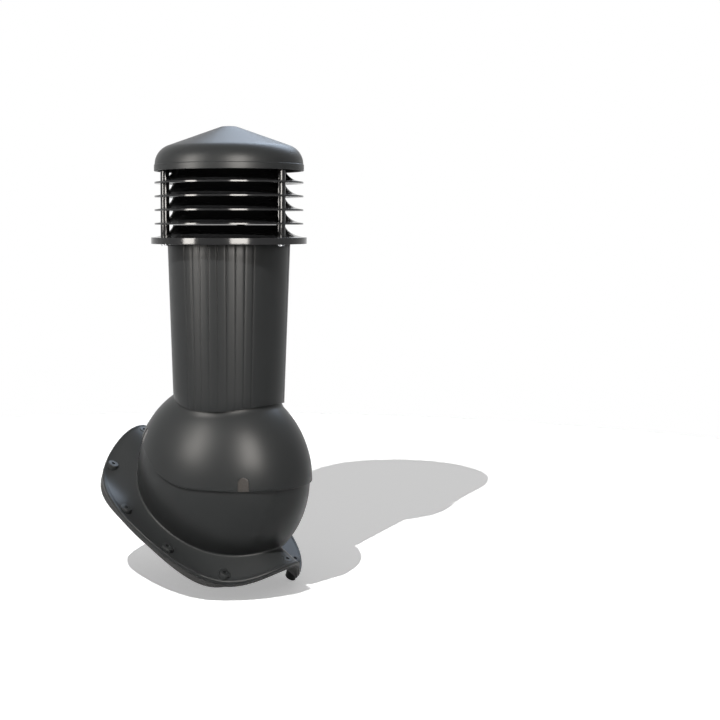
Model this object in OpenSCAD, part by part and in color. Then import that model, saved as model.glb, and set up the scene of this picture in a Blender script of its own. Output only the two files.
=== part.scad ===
/* [Roof] */
// Slope of the roof that the vent is set for, in degrees
roof_pitch = 29; // [23:1:39]

/* [Ball joint] */
// Outside radius of the dome, seen from the side
dome_r = 125; // [118:1:134]
// Half of the dome's width, along the tilt axis
dome_half_w = 100; // [96:1:108]
// Wall of the dome
dome_wall = 2.5; // [2:0.1:3]
// Running gap between the dome and the ball under it
ball_gap = 0.6; // [0.4:0.1:0.9]
// Wall of the ball
ball_wall = 2.5; // [2:0.1:3]
// Rise of the dome's rear rim, in degrees
rim_rise = 29.75; // [26:0.25:31]
// Radius that blends the level rim into the rising rim
rim_blend = 130; // [90:5:150]
// Lean of the ball's mouth from the roof's normal, in degrees
mouth_lean = 24; // [21:1:26]
// Height of the ball's mouth above the tilt axis
mouth_h = 72; // [70:0.5:74]
// Diameter of the tilt pins
pin_d = 8; // [6:0.5:10]
// Running gap round a tilt pin
pin_gap = 0.06; // [0.03:0.01:0.1]

/* [Roof plate] */
// Half of the plate's width, across the slope
plate_half_w = 122.5; // [118:1:126]
// Half of the plate's length, along the slope
plate_half_l = 153.5; // [148:1:160]
// How far the plate's middle lies up the slope from the tilt axis
plate_shift = 3.3; // [0:0.1:6]
// Squareness of the plate's outline, where 2 is an ellipse
plate_power = 2.1; // [2:0.05:2.4]
// Thickness of the plate
plate_t = 3; // [2.5:0.1:3.6]
// Depth of the rim that runs round the plate's edge
lip_h = 4.6; // [4:0.1:6]
// Width of that rim
lip_w = 3.2; // [2.5:0.1:4]
// Distance of the tile crest below the tilt axis
crest_drop = 28.5; // [26:0.5:34]
// Distance of the tile valleys below the tilt axis
valley_drop = 68; // [64:0.5:72]
// Where the steep side of the crest begins
fall_start = 5; // [3:0.5:12]
// Where the steep side ends
fall_end = 57.5; // [50:0.5:60]
// Distance of the gentle valley from the middle
valley_x = 97.5; // [94:0.5:100]
// Lift of the outer edges over the valleys
edge_lift = 2.3; // [1:0.1:4]
// Thickness of the foam gasket
gasket_t = 6; // [5:0.1:7]
// Extra thickness of the gasket in the tile's valleys
gasket_swell = 4.5; // [2:0.1:6]
// Width of the foam gasket
gasket_w = 20; // [19:0.5:22]
// Diameter of a screw boss
boss_d = 14.4; // [12:0.1:15]
// Height of a screw boss over the plate in the valleys
boss_h = 5; // [3:0.1:6]
// Lean of the screw bosses from the roof's normal, in degrees
boss_lean = 12; // [8:0.5:14]
// Length of the long post beside the steep side, under the plate
post_below = 20; // [16:0.5:22]
// Diameter of a screw hole
screw_hole_d = 5; // [4:0.1:6]
// Distance of the screw bosses from the plate's edge
boss_inset = 10.5; // [10:0.5:11]

/* [Duct spigot] */
// Outside diameter of the spigot that takes the duct
spigot_d = 125; // [119:1:126]
// Wall of the spigot
spigot_wall = 2.5; // [2:0.1:3]
// Depth of the spigot's lower end below the tilt axis
spigot_drop = 38; // [36:0.5:40]
// Height of the spigot's upper end over the tilt axis
spigot_rise = 38; // [30:1:40]
// Offset of the spigot up the slope from the tilt axis
spigot_shift = 4.2; // [3:0.1:5]
// Width of a latch window
latch_w = 20; // [16:0.5:24]
// Height of a latch window
latch_h = 5.6; // [4:0.1:7]
// Depth of the latches below the tilt axis
latch_drop = 22.2; // [20:0.1:24]

/* [Pipe] */
// Offset of the pipe down the slope from the tilt axis
pipe_shift = 10.8; // [9:0.1:12]
// Outside radius of the pipe at its upper end
pipe_top_r = 77.8; // [77:0.1:80]
// Outside radius of the pipe at its lower end
pipe_low_r = 71.2; // [71:0.1:73]
// Wall of the pipe
pipe_wall = 2.6; // [2.2:0.1:3]
// Height of the pipe's upper end over the tilt axis
pipe_top = 299.6; // [260:0.2:400]
// Gap between the pipe's lower end and the dome
pipe_lift = 4.2; // [3:0.1:6]
// Height of the neck's upper end over the tilt axis
neck_top = 152; // [145:1:170]
// Wall of the neck
neck_wall = 2.6; // [2:0.1:3]
// Grooves in each of the three fluted bands
groove_n = 9; // [5:1:10]
// Angle between two grooves
groove_step = 8.5; // [7:0.5:9]
// Depth of a groove at the pipe's upper end
groove_depth = 1.2; // [0.6:0.1:1.4]

/* [Hood] */
// Rim radius of the hood's base ring
base_rim_r = 98.8; // [96:0.2:102]
// Rim radius of a louvre ring
louvre_rim_r = 94.2; // [93:0.2:95]
// Throat radius of the rings
throat_r = 71; // [70:0.2:72]
// Height of a ring's flare
flare_h = 15.6; // [13:0.2:16]
// Thickness of a ring
ring_t = 2.2; // [1.8:0.1:2.4]
// Depth of the base ring's rim
base_rim_h = 8.1; // [7:0.1:10]
// Distance between two louvre rings
louvre_pitch = 17.1; // [16.5:0.1:20]
// Number of louvre rings
louvre_n = 4; // [4:4]
// Length of the collar that plugs into the pipe
plug_l = 26; // [20:1:32]
// Diameter of a hood post
post_d = 11.2; // [9:0.1:11.4]
// Radius of the circle that the posts stand on
post_circle_r = 84.3; // [84:0.1:86]
// Outside radius of the rain cap
cap_r = 94.6; // [94:0.2:97]
// Slope of the cap's cone, in degrees
cap_slope = 19.5; // [16:0.5:22]
// Radius of the cap's shoulder
cap_shoulder = 25; // [20:1:28]
// Depth of the cap's upright wall
cap_wall_h = 8.2; // [6:0.1:10]
// Step of that wall out from the cap's shoulder
cap_step = 0.8; // [0.4:0.1:1]
// Thickness of the cap
cap_t = 2.5; // [2:0.1:3]

/* [Hidden] */

// Finishes: the housing is graphite plastic, the seals are black rubber
graphite = [0.23, 0.24, 0.24];
gloss_graphite = [0.16, 0.17, 0.17];
rubber = [0.07, 0.07, 0.075];
clip_grey = [0.38, 0.36, 0.34];
zinc = [0.66, 0.67, 0.68];

big = 400;
// The row's origin is the middle of the spigot's lower end
pivot = [0, -spigot_shift, spigot_drop];

// Shells of the ball joint, from the outside inwards
dome_in_r = dome_r - dome_wall;
dome_in_a = dome_half_w - dome_wall;
ball_r = dome_in_r - ball_gap;
ball_a = dome_in_a - ball_gap;
ball_in_r = ball_r - ball_wall;
ball_in_a = ball_a - ball_wall;
ball_step = 6;

// An ellipsoid round the X axis: radius r in the YZ plane, half-width a along X
module ellipsoid(r, a) {
    rotate([0, 90, 0])
        rotate_extrude($fn = 96)
            polygon([for (t = [-90 : ball_step : 90]) [r * cos(t), a * sin(t)]]);
}

module from_pivot() { translate(pivot) children(); }
// Pieces fixed to the roof are drawn with Y up the slope and Z along the roof's normal
module on_roof() { from_pivot() rotate([roof_pitch, 0, 0]) children(); }
module at_pipe() { translate(pivot + [0, -pipe_shift, 0]) children(); }

// Steps of the drawn curves
x_step = 5;
outline_step = 5;
wave_end = plate_half_w + 2 * x_step;

function ease(t) = (1 - cos(180 * t)) / 2;

// Height of the plate's top face over the tilt axis, at x across the slope
function wave(x) =
    abs(x) >= valley_x
        ? -valley_drop + edge_lift * pow((abs(x) - valley_x) / (plate_half_w - valley_x), 2)
    : x <= 0 ? -valley_drop + (valley_drop - crest_drop) * ease(1 + x / valley_x)
    : x <= fall_start ? -crest_drop
    : x <= fall_end
        ? -crest_drop - (valley_drop - crest_drop) * ease((x - fall_start) / (fall_end - fall_start))
    : -valley_drop;

// How far x is into a valley of the tile, from 0 outside it to 1 in its middle
valley_half_w = 22;
function valley_share(x) = max(0, 1 - pow((abs(x) - valley_x) / valley_half_w, 2));

wave_x = concat([-wave_end], [for (x = [-plate_half_w : x_step : plate_half_w]) x], [wave_end]);
wave_n = len(wave_x);

// The space between the wave raised by high and the wave raised by low
module wave_slab(high, low, swell = 0) {
    rotate([90, 0, 0])
        linear_extrude(big, center = true)
            polygon(concat(
                [for (x = wave_x) [x, wave(x) + low - swell * valley_share(x)]],
                [for (i = [wave_n - 1 : -1 : 0]) [wave_x[i], wave(wave_x[i]) + high]]));
}

module above_wave(low) {
    rotate([90, 0, 0])
        linear_extrude(big, center = true)
            polygon(concat([for (x = wave_x) [x, wave(x) + low]],
                [[wave_end, big / 2], [-wave_end, big / 2]]));
}

// A point of the plate's outline, set inwards by inset, at angle a
function outline_at(inset, a) = [
    (plate_half_w - inset) * sign(cos(a)) * pow(abs(cos(a)), 2 / plate_power),
    plate_shift + (plate_half_l - inset) * sign(sin(a)) * pow(abs(sin(a)), 2 / plate_power)];

module outline_prism(inset) {
    translate([0, 0, -big / 2])
        linear_extrude(big)
            polygon([for (a = [0 : outline_step : 360 - outline_step]) outline_at(inset, a)]);
}

// Angles of the ten screw bosses round the plate, five pairs
boss_a = [14.5, 50, 90, 126.5, 165.5, 196.5, 231, 270, 304.5, 343.5];
long_boss = 8;
boss_below = 2;
boss_flush = 0.4;

// Height of a boss over the plate: nearly flush on the crest, full in the valleys
function boss_rise(x) = boss_flush
    + (boss_h - boss_flush) * (-crest_drop - wave(x)) / (valley_drop - crest_drop);

// Leaned bars on the bosses' axes
module boss_bars(d) {
    for (a = boss_a)
        let (p = outline_at(boss_inset, a))
            translate([p.x, p.y, wave(p.x)])
                rotate([-boss_lean, 0, 0])
                    cylinder(d = d, h = big / 4, center = true, $fn = 40);
}

// The bosses: bars cut level with the roof above and below the plate
module bosses() {
    intersection() {
        boss_bars(boss_d);
        for (i = [0 : len(boss_a) - 1])
            let (p = outline_at(boss_inset, boss_a[i]),
                below = plate_t + (i == long_boss ? post_below : boss_below))
                translate([p.x - boss_d, p.y - boss_d, wave(p.x) - below])
                    cube([2 * boss_d, 2 * boss_d, boss_rise(p.x) + below]);
    }
}

// Space on the far side of the ball's mouth, from h upwards
module past_mouth(h) {
    rotate([-mouth_lean, 0, 0])
        translate([-big / 2, -big / 2, h])
            cube([big, big, big]);
}

// A round bar along X from x1 to x2
module bar_x(r, x1, x2) {
    translate([x1, 0, 0])
        rotate([0, 90, 0])
            cylinder(r = r, h = x2 - x1, $fn = 48);
}

// Tilt pins: each stands in a blind bearing inside the ball and carries the spigot's lug
pin_r = pin_d / 2;
pin_head_r = pin_r + 3;
pin_head_t = 1.7;
spigot_r = spigot_d / 2;
spigot_in_r = spigot_r - spigot_wall;
head_x = spigot_in_r + 0.7;
lug_end = spigot_r + 11.5;
bearing_x = lug_end + 4;
pin_end = ball_in_a - 6;
lug_r = pin_head_r + 2.5;
bearing_r = pin_r + 6;

module roof_plate() {
    color(graphite) on_roof() {
        difference() {
            union() {
                intersection() {
                    wave_slab(0, -plate_t);
                    outline_prism(0);
                }
                intersection() {
                    wave_slab(0.6, -lip_h);
                    difference() {
                        outline_prism(0);
                        outline_prism(lip_w);
                    }
                }
                intersection() {
                    ellipsoid(ball_r, ball_a);
                    above_wave(-plate_t / 2);
                }
                bosses();
            }
            ellipsoid(ball_in_r, ball_in_a);
            past_mouth(mouth_h);
            boss_bars(screw_hole_d);
        }
        for (side = [-1, 1])
            scale([side, 1, 1])
                difference() {
                    intersection() {
                        bar_x(bearing_r, bearing_x, ball_a);
                        ellipsoid(ball_in_r + ball_wall / 2, ball_in_a + ball_wall / 2);
                    }
                    bar_x(pin_r + 0.02, bearing_x - 1, pin_end + 0.5);
                }
    }
}

// Foam gasket: its upper step lies inside the plate's rim, and the rest reaches the edge
gasket_step = lip_h + 0.1;
gasket_edge = 0.8;
module roof_gasket() {
    color(rubber) on_roof() difference() {
        union() {
            intersection() {
                wave_slab(-plate_t, -gasket_step - 0.5);
                outline_prism(lip_w + 0.3);
            }
            intersection() {
                wave_slab(-gasket_step, -plate_t - gasket_t, gasket_swell);
                outline_prism(gasket_edge);
            }
        }
        outline_prism(lip_w + 0.3 + gasket_w);
        boss_bars(boss_d + 0.6);
    }
}

// Rubber channel on the ball's mouth: a cap on the edge and a lip inside the wall
mouth_cap = 3;
mouth_lip_h = 5;
mouth_lip_t = 1.5;
module mouth_seal() {
    color(rubber) on_roof() difference() {
        intersection() {
            difference() {
                ellipsoid(ball_r, ball_a);
                ellipsoid(ball_in_r - mouth_lip_t, ball_in_a - mouth_lip_t);
            }
            past_mouth(mouth_h - mouth_lip_h);
        }
        past_mouth(mouth_h + mouth_cap);
        difference() {
            ellipsoid(ball_r + 1, ball_a + 1);
            ellipsoid(ball_in_r, ball_in_a);
            past_mouth(mouth_h);
        }
    }
}

module tilt_pin(side) {
    color(zinc) from_pivot() scale([side, 1, 1]) {
        bar_x(pin_head_r, head_x, head_x + pin_head_t);
        bar_x(pin_r, head_x + pin_head_t - 0.5, pin_end);
    }
}

// Rim of the dome in the side view: level in front, then an arc, then the rise
rim_run = rim_blend * tan(rim_rise / 2);
module above_rim() {
    rotate([90, 0, 90])
        linear_extrude(big, center = true)
            polygon(concat(
                [[-big / 2, 0]],
                [for (i = [0 : 8]) let (a = rim_rise * i / 8)
                    [rim_blend * sin(a) - rim_run, rim_blend * (1 - cos(a))]],
                [[big * cos(rim_rise), big * sin(rim_rise)], [big, big], [-big / 2, big]]));
}

// Arched windows in the rim: width, height of the arch's top, and angle from the front
window_front = [13.6, 17.5, 36];
window_rear = [14.7, 62, 137.3];
module window_prism(win, side, gap) {
    w = win[0] - 2 * gap;
    rotate([0, 0, side * win[2]])
        rotate([90, 0, 0])
            linear_extrude(big / 2) {
                translate([-w / 2, -5])
                    square([w, win[1] - win[0] / 2 + 5]);
                translate([0, win[1] - win[0] / 2])
                    circle(d = w, $fn = 32);
            }
}

// Neck on the dome, and the skirt under it that the spigot is clipped to
function pipe_r(z) = pipe_low_r + (pipe_top_r - pipe_low_r) * (z - neck_low) / (pipe_top - neck_low);
neck_low = 96;
neck_r = pipe_r(neck_low) - pipe_wall - 0.4;
neck_in_r = neck_r - neck_wall;
seal_z = neck_top - 12;
seal_h = 6;
seal_depth = 1.2;
skirt_gap = 0.1;
skirt_r = spigot_in_r - skirt_gap;
skirt_wall = 2;
skirt_low = 28;
// Gap round the skirt's barbs in the latch windows, and under the spigot's face
latch_gap = 0.3;
// The duct stops on a bead with sloped flanks round the spigot, under the lugs
bead_w = 2;
bead_h = 2.5;
bead_drop = lug_r + bead_h + 1;

module dome_shell() {
    color(graphite) {
        from_pivot() difference() {
            union() {
                intersection() {
                    ellipsoid(dome_r, dome_half_w);
                    above_rim();
                }
                translate([0, -pipe_shift, neck_low - 30])
                    cylinder(r = neck_r, h = neck_top - neck_low + 30, $fn = 96);
            }
            ellipsoid(dome_in_r, dome_in_a);
            intersection() {
                translate([0, -pipe_shift, 0])
                    cylinder(r = neck_in_r, h = big, $fn = 96);
                translate([0, spigot_shift, 0])
                    cylinder(r = skirt_r - skirt_wall, h = big, $fn = 96);
            }
            difference() {
                translate([0, -pipe_shift, 0])
                    cylinder(r = neck_in_r, h = big, $fn = 96);
                ellipsoid(dome_r, dome_half_w);
            }
            translate([0, -pipe_shift, seal_z])
                difference() {
                    cylinder(r = neck_r + 1, h = seal_h, $fn = 96);
                    translate([0, 0, -1])
                        cylinder(r = neck_r - seal_depth, h = seal_h + 2, $fn = 96);
                }
            for (side = [-1, 1]) {
                window_prism(window_front, side, 0);
                window_prism(window_rear, side, 0);
            }
        }
        from_pivot() intersection() {
            translate([0, spigot_shift, -skirt_low])
                difference() {
                    union() {
                        cylinder(r = skirt_r, h = big / 2, $fn = 96);
                        intersection() {
                            cylinder(r = spigot_r - latch_gap, h = big / 2, $fn = 96);
                            for (a = [45 : 90 : 315])
                                rotate([0, 0, a])
                                    translate([0, latch_gap - latch_w / 2,
                                        skirt_low - latch_drop - latch_h / 2 + latch_gap])
                                        cube([spigot_r, latch_w - 2 * latch_gap, latch_h - 2 * latch_gap]);
                        }
                    }
                    translate([0, 0, -1])
                        cylinder(r = skirt_r - skirt_wall, h = big, $fn = 96);
                }
            ellipsoid(dome_in_r + dome_wall / 2, dome_in_a + dome_wall / 2);
        }
    }
}

module duct_spigot() {
    color(graphite) from_pivot() difference() {
        union() {
            translate([0, spigot_shift, -spigot_drop])
                cylinder(r = spigot_r, h = spigot_drop + spigot_rise, $fn = 96);
            translate([0, spigot_shift, -bead_drop]) {
                cylinder(r1 = spigot_r, r2 = spigot_r + bead_w, h = bead_h / 2, $fn = 96);
                translate([0, 0, bead_h / 2])
                    cylinder(r1 = spigot_r + bead_w, r2 = spigot_r, h = bead_h / 2, $fn = 96);
            }
            bar_x(lug_r, -lug_end, lug_end);
        }
        translate([0, spigot_shift, -spigot_drop - 1])
            cylinder(r = spigot_in_r, h = spigot_drop + spigot_rise + 2, $fn = 96);
        for (side = [-1, 1])
            scale([side, 1, 1]) {
                bar_x(pin_r + pin_gap, spigot_in_r - 10, lug_end + 1);
                bar_x(pin_head_r + 0.3, spigot_in_r - 10, head_x + pin_head_t + 0.3);
            }
        translate([0, spigot_shift, -latch_drop - latch_h / 2])
            for (a = [45 : 90 : 315])
                rotate([0, 0, a])
                    translate([spigot_in_r - 5, -latch_w / 2, 0])
                        cube([10, latch_w, latch_h]);
    }
}

module lock_clip(win, side) {
    color(clip_grey) from_pivot() intersection() {
        difference() {
            ellipsoid(dome_r - 0.6, dome_half_w - 0.6);
            ellipsoid(dome_in_r, dome_in_a);
        }
        window_prism(win, side, 0.15);
        above_rim();
    }
}

// Fluted bands of the pipe, as angles from the front
band_a = [-60, 60, 180];
groove_low = neck_low + 14;
groove_fade = 0.2;
groove_side = 4;
groove_lean = atan((pipe_r(pipe_top) - pipe_r(groove_low) - groove_depth * (1 - groove_fade))
    / (pipe_top - groove_low));

module vent_pipe() {
    color(graphite) at_pipe() difference() {
        cone_tube(pipe_r(neck_low - 30), pipe_r(pipe_top), neck_low - 30, pipe_top);
        cone_tube(pipe_r(neck_low - 32) - pipe_wall, pipe_r(pipe_top + 2) - pipe_wall,
            neck_low - 32, pipe_top + 2);
        translate([0, pipe_shift, 0])
            ellipsoid(dome_r + pipe_lift, dome_half_w + pipe_lift);
        for (band = band_a, i = [0 : groove_n - 1])
            rotate([0, 0, band + (i - (groove_n - 1) / 2) * groove_step])
                translate([0, groove_depth * groove_fade - pipe_r(groove_low), groove_low])
                    rotate([groove_lean, 0, 0])
                        rotate([0, 0, 225])
                            translate([0, 0, -big / 8])
                                cube([groove_side, groove_side, big]);
    }
}

module cone_tube(r1, r2, z1, z2) {
    translate([0, 0, z1])
        cylinder(r1 = r1, r2 = r2, h = z2 - z1, $fn = 120);
}

module pipe_seal() {
    color(rubber) at_pipe() translate([0, 0, seal_z + 0.1])
        difference() {
            cylinder(r = pipe_r(seal_z) - pipe_wall - 0.1, h = seal_h - 0.2, $fn = 96);
            translate([0, 0, -1])
                cylinder(r = neck_r - seal_depth + 0.05, h = seal_h + 2, $fn = 96);
        }
}

// Angles of the three hood posts; the first stands in front
post_a = [0, 120, 240];
post_r = post_d / 2;
post_low = pipe_top - 0.5;
screw_head_h = 1.6;
screw_r = 1.5;
screw_l = 18;
// Wall of the bosses and sockets round the posts, and the bars that they are cut from
post_wall = 2.4;
boss_bar_h = 30;
socket_bar_h = 60;
socket_lift = 4;
rim_top = pipe_top + base_rim_h;
function louvre_z(i) = rim_top + louvre_pitch * (louvre_n + 1 - i) - ring_t / 2;
cap_low = louvre_z(1) + louvre_pitch - ring_t / 2 - 0.3;
post_top = cap_low + 15.5;

module at_posts() {
    for (a = post_a)
        rotate([0, 0, a])
            translate([0, -post_circle_r, 0])
                children();
}

// A flare from the rim at (rim_r, z) up to the throat, as points of its profile
flare_power = 1.75;
function flare(rim_r, r_in, z, h) = [for (a = [0 : 9 : 90])
    [rim_r - (rim_r - r_in) * pow(sin(a), 2 / flare_power), z + h * (1 - pow(cos(a), 2 / flare_power))]];
function backwards(list) = [for (i = [len(list) - 1 : -1 : 0]) list[i]];

module post_holes() {
    at_posts()
        cylinder(d = post_d + 0.2, h = big * 2, $fn = 40);
}

module louvre_ring(i) {
    color(gloss_graphite) at_pipe() difference() {
        rotate_extrude($fn = 120)
            polygon(concat(
                flare(louvre_rim_r, throat_r, louvre_z(i) + ring_t, flare_h),
                backwards(flare(louvre_rim_r, throat_r - ring_t, louvre_z(i), flare_h + ring_t))));
        post_holes();
    }
}

function flare_z(rim_r, r_in, z, h, r) =
    let (a = asin(pow((rim_r - r) / (rim_r - r_in), flare_power / 2)))
    z + h * (1 - pow(cos(a), 2 / flare_power));

// Base ring: a thin flare with a rim, a collar inside the pipe, a shoulder that the pipe
// butts on, and a boss under the flare for each post
module hood_base_ring() {
    shoulder = pipe_top_r + 1.5;
    plug_low = pipe_top - plug_l;
    plug_low_r = pipe_r(plug_low) - pipe_wall - 0.3;
    collar_r = pipe_r(pipe_top) - pipe_wall - 0.3;
    collar_in = collar_r - ring_t;
    in_rim = base_rim_r - ring_t;
    in_throat = throat_r - ring_t;
    in_z = rim_top - ring_t;
    under = flare(in_rim, in_throat, in_z, flare_h + ring_t);
    color(gloss_graphite) at_pipe() difference() {
        union() {
            rotate_extrude($fn = 120)
                polygon(concat(
                    [[base_rim_r, pipe_top]],
                    flare(base_rim_r, throat_r, rim_top, flare_h),
                    backwards([for (p = under) if (p.x < collar_in - 0.5) p]),
                    [[collar_in, flare_z(in_rim, in_throat, in_z, flare_h + ring_t, collar_in)],
                     [collar_in, pipe_top],
                     [plug_low_r - ring_t, plug_low],
                     [plug_low_r, plug_low],
                     [collar_r, pipe_top],
                     [shoulder, pipe_top],
                     [shoulder, pipe_top + ring_t],
                     [collar_r, pipe_top + ring_t],
                     [collar_r, flare_z(in_rim, in_throat, in_z, flare_h + ring_t, collar_r)]],
                    backwards([for (p = under) if (p.x > collar_r + 0.5) p]),
                    [[in_rim, pipe_top]]));
            intersection() {
                at_posts()
                    translate([0, 0, pipe_top])
                        cylinder(r = post_r + post_wall, h = boss_bar_h, $fn = 40);
                rotate_extrude($fn = 120)
                    polygon(concat(
                        [[collar_in, pipe_top], [base_rim_r - 1, pipe_top]],
                        flare(base_rim_r - 1, throat_r - 1, rim_top - 1, flare_h),
                        [[collar_in, rim_top + flare_h - 1]]));
            }
        }
        post_holes();
    }
}

module hood_post(i) {
    color(gloss_graphite) at_pipe() rotate([0, 0, post_a[i]])
        translate([0, -post_circle_r, post_low])
            difference() {
                cylinder(d = post_d, h = post_top - post_low, $fn = 40);
                translate([0, 0, -1])
                    cylinder(r = screw_r + 0.1, h = screw_l + 3, $fn = 32);
            }
}

module hood_screw(i) {
    color(zinc) at_pipe() rotate([0, 0, post_a[i]])
        translate([0, -post_circle_r, post_low - screw_head_h]) {
            cylinder(r = post_r - 1, h = screw_head_h, $fn = 40);
            cylinder(r = screw_r, h = screw_head_h + screw_l, $fn = 32);
        }
}

// Outline of the cap, drawn in by t, from the foot of its wall to the middle
cap_tip_r = 8.8;
shoulder_turn = 90 - cap_slope;
function cap_line(t) =
    let (cr = cap_r - cap_step - cap_shoulder, cz = cap_low + cap_wall_h, rho = cap_shoulder - t,
        er = cr + rho * cos(shoulder_turn), ez = cz + rho * sin(shoulder_turn))
    concat([[cap_r - cap_step - t, cap_low]],
        [for (k = [0 : 8]) let (a = shoulder_turn * k / 8) [cr + rho * cos(a), cz + rho * sin(a)]],
        [[cap_tip_r, ez + (er - cap_tip_r) * tan(cap_slope)], [0, ez + (er - cap_tip_r) * tan(cap_slope)]]);

module rain_cap() {
    color(graphite) at_pipe() difference() {
        union() {
            rotate_extrude($fn = 120)
                polygon(concat(cap_line(0), backwards(cap_line(cap_t))));
            rotate_extrude($fn = 120)
                polygon([[cap_r - cap_t, cap_low], [cap_r, cap_low],
                    [cap_r, cap_low + cap_wall_h - cap_step],
                    [cap_r - cap_t, cap_low + cap_wall_h + cap_step]]);
            intersection() {
                at_posts()
                    translate([0, 0, cap_low + socket_lift])
                        cylinder(r = post_r + post_wall, h = socket_bar_h, $fn = 40);
                rotate_extrude($fn = 120)
                    polygon(concat(cap_line(cap_t / 2), [[0, cap_low]]));
            }
        }
        at_posts()
            cylinder(d = post_d + 0.2, h = post_top + 0.2, $fn = 40);
    }
}

roof_plate();
roof_gasket();
mouth_seal();
tilt_pin(-1);  // tilt_pin_left
tilt_pin(1);  // tilt_pin_right
dome_shell();
duct_spigot();
lock_clip(window_front, -1);  // lock_clip_front_left
lock_clip(window_front, 1);  // lock_clip_front_right
lock_clip(window_rear, -1);  // lock_clip_rear_left
lock_clip(window_rear, 1);  // lock_clip_rear_right
vent_pipe();
pipe_seal();
hood_base_ring();
louvre_ring(1);  // louvre_ring_1
louvre_ring(2);  // louvre_ring_2
louvre_ring(3);  // louvre_ring_3
louvre_ring(4);  // louvre_ring_4
hood_post(0);  // hood_post_1
hood_post(1);  // hood_post_2
hood_post(2);  // hood_post_3
hood_screw(0);  // hood_screw_1
hood_screw(1);  // hood_screw_2
hood_screw(2);  // hood_screw_3
rain_cap();
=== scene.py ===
import math

import bmesh
import bpy
from mathutils import Matrix, Vector


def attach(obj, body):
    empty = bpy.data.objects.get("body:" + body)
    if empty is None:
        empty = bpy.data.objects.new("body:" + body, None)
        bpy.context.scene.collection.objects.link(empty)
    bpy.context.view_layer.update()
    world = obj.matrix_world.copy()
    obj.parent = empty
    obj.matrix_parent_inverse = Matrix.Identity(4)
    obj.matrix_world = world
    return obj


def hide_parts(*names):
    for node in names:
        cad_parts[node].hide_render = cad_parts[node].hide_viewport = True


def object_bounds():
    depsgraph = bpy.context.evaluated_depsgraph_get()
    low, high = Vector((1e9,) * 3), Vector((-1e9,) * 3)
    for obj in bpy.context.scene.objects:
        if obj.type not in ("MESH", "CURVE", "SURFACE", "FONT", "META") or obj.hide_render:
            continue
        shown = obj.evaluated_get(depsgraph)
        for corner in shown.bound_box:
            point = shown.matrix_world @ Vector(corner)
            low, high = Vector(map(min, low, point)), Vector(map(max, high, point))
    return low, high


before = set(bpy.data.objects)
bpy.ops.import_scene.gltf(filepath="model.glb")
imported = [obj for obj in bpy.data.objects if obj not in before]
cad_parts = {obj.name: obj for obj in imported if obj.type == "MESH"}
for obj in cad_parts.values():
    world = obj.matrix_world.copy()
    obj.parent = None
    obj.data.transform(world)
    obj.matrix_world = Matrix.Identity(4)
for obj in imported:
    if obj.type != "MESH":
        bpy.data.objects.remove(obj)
cad_low, cad_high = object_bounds()


# Camera: it stands in front of the vent and to the left of the roof's fall line, a little
# above the pipe's foot, and holds the vent on the left of a square picture.
MM = 0.001
spigot_shift = 4.2 * MM
pivot = Vector((0, -spigot_shift, 38 * MM))
pipe_shift = 10.8 * MM
camera_place = (-1.2985, -1.1438, 0.3625)
camera_dip = 6.278
camera_turn = 49

bpy.ops.object.select_all(action="DESELECT")
bpy.ops.object.camera_add(
    location=camera_place,
    rotation=(math.radians(90 - camera_dip), 0, math.radians(-camera_turn)),
)
camera = bpy.context.object
camera.name = "camera"
camera.data.lens = 67.44
camera.data.sensor_width = 36
camera.data.shift_x = 0.182
camera.data.shift_y = 0.0172
bpy.context.scene.camera = camera
bpy.context.scene.view_settings.view_transform = "Standard"


# Roof plate: one injection-moulded graphite polypropylene piece, the lower half of the ball
# joint standing on a plate that follows one tile wave. A small fillet joins ball and plate, a
# rounded rim stiffens the edge, and ten bosses take the roofing screws.
roof_pitch = math.radians(29)
plate_half_w = 122.5 * MM
plate_half_l = 153.5 * MM
plate_shift = 3.3 * MM
plate_power = 2.1
plate_t = 3 * MM
lip_h = 4.6 * MM
lip_w = 3.2 * MM
crest_drop = 28.5 * MM
valley_drop = 68 * MM
fall_start = 5 * MM
fall_end = 57.5 * MM
valley_x = 97.5 * MM
edge_lift = 2.3 * MM
ball_r = 121.9 * MM
ball_a = 96.9 * MM
ball_wall = 2.5 * MM
mouth_lean = math.radians(24)
mouth_h = 72 * MM
fillet_r = 2.6 * MM
boss_r = 7.2 * MM
boss_h = 5 * MM
boss_flush = 0.4 * MM
boss_below = 2 * MM
boss_lean = math.radians(12)
boss_inset = 10.5 * MM
boss_edge = 0.9 * MM
screw_hole_r = 2.5 * MM
boss_angles = (14.5, 50, 90, 126.5, 165.5, 196.5, 231, 270, 304.5, 343.5)
long_boss = 304.5
post_below = 20 * MM
bearing_r = 10 * MM
bearing_x = 78 * MM
bearing_set_in = 1.6 * MM
pin_r = 4 * MM
pin_end = 88.4 * MM
pin_play = 0.5 * MM
rim_foot = 0.8 * MM
through = 30 * MM
plate_columns = 240


def on_roof(p):
    """A point given across the slope, up the slope and along the roof's normal."""
    return pivot + Matrix.Rotation(roof_pitch, 3, "X") @ Vector(p)


def ease(t):
    return (1 - math.cos(math.pi * t)) / 2


def wave(x):
    """Height of the plate's top face over the tilt axis."""
    if abs(x) >= valley_x:
        edge = (abs(x) - valley_x) / (plate_half_w - valley_x)
        return -valley_drop + edge_lift * edge * edge
    if x <= 0:
        return -valley_drop + (valley_drop - crest_drop) * ease(1 + x / valley_x)
    if x <= fall_start:
        return -crest_drop
    if x <= fall_end:
        fall = (x - fall_start) / (fall_end - fall_start)
        return -crest_drop - (valley_drop - crest_drop) * ease(fall)
    return -valley_drop


def outline_at(inset, angle):
    """A point of the plate's outline, set inwards by inset."""
    c, s = math.cos(angle), math.sin(angle)
    return (
        (plate_half_w - inset) * math.copysign(abs(c) ** (2 / plate_power), c),
        plate_shift + (plate_half_l - inset) * math.copysign(abs(s) ** (2 / plate_power), s),
    )


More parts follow.
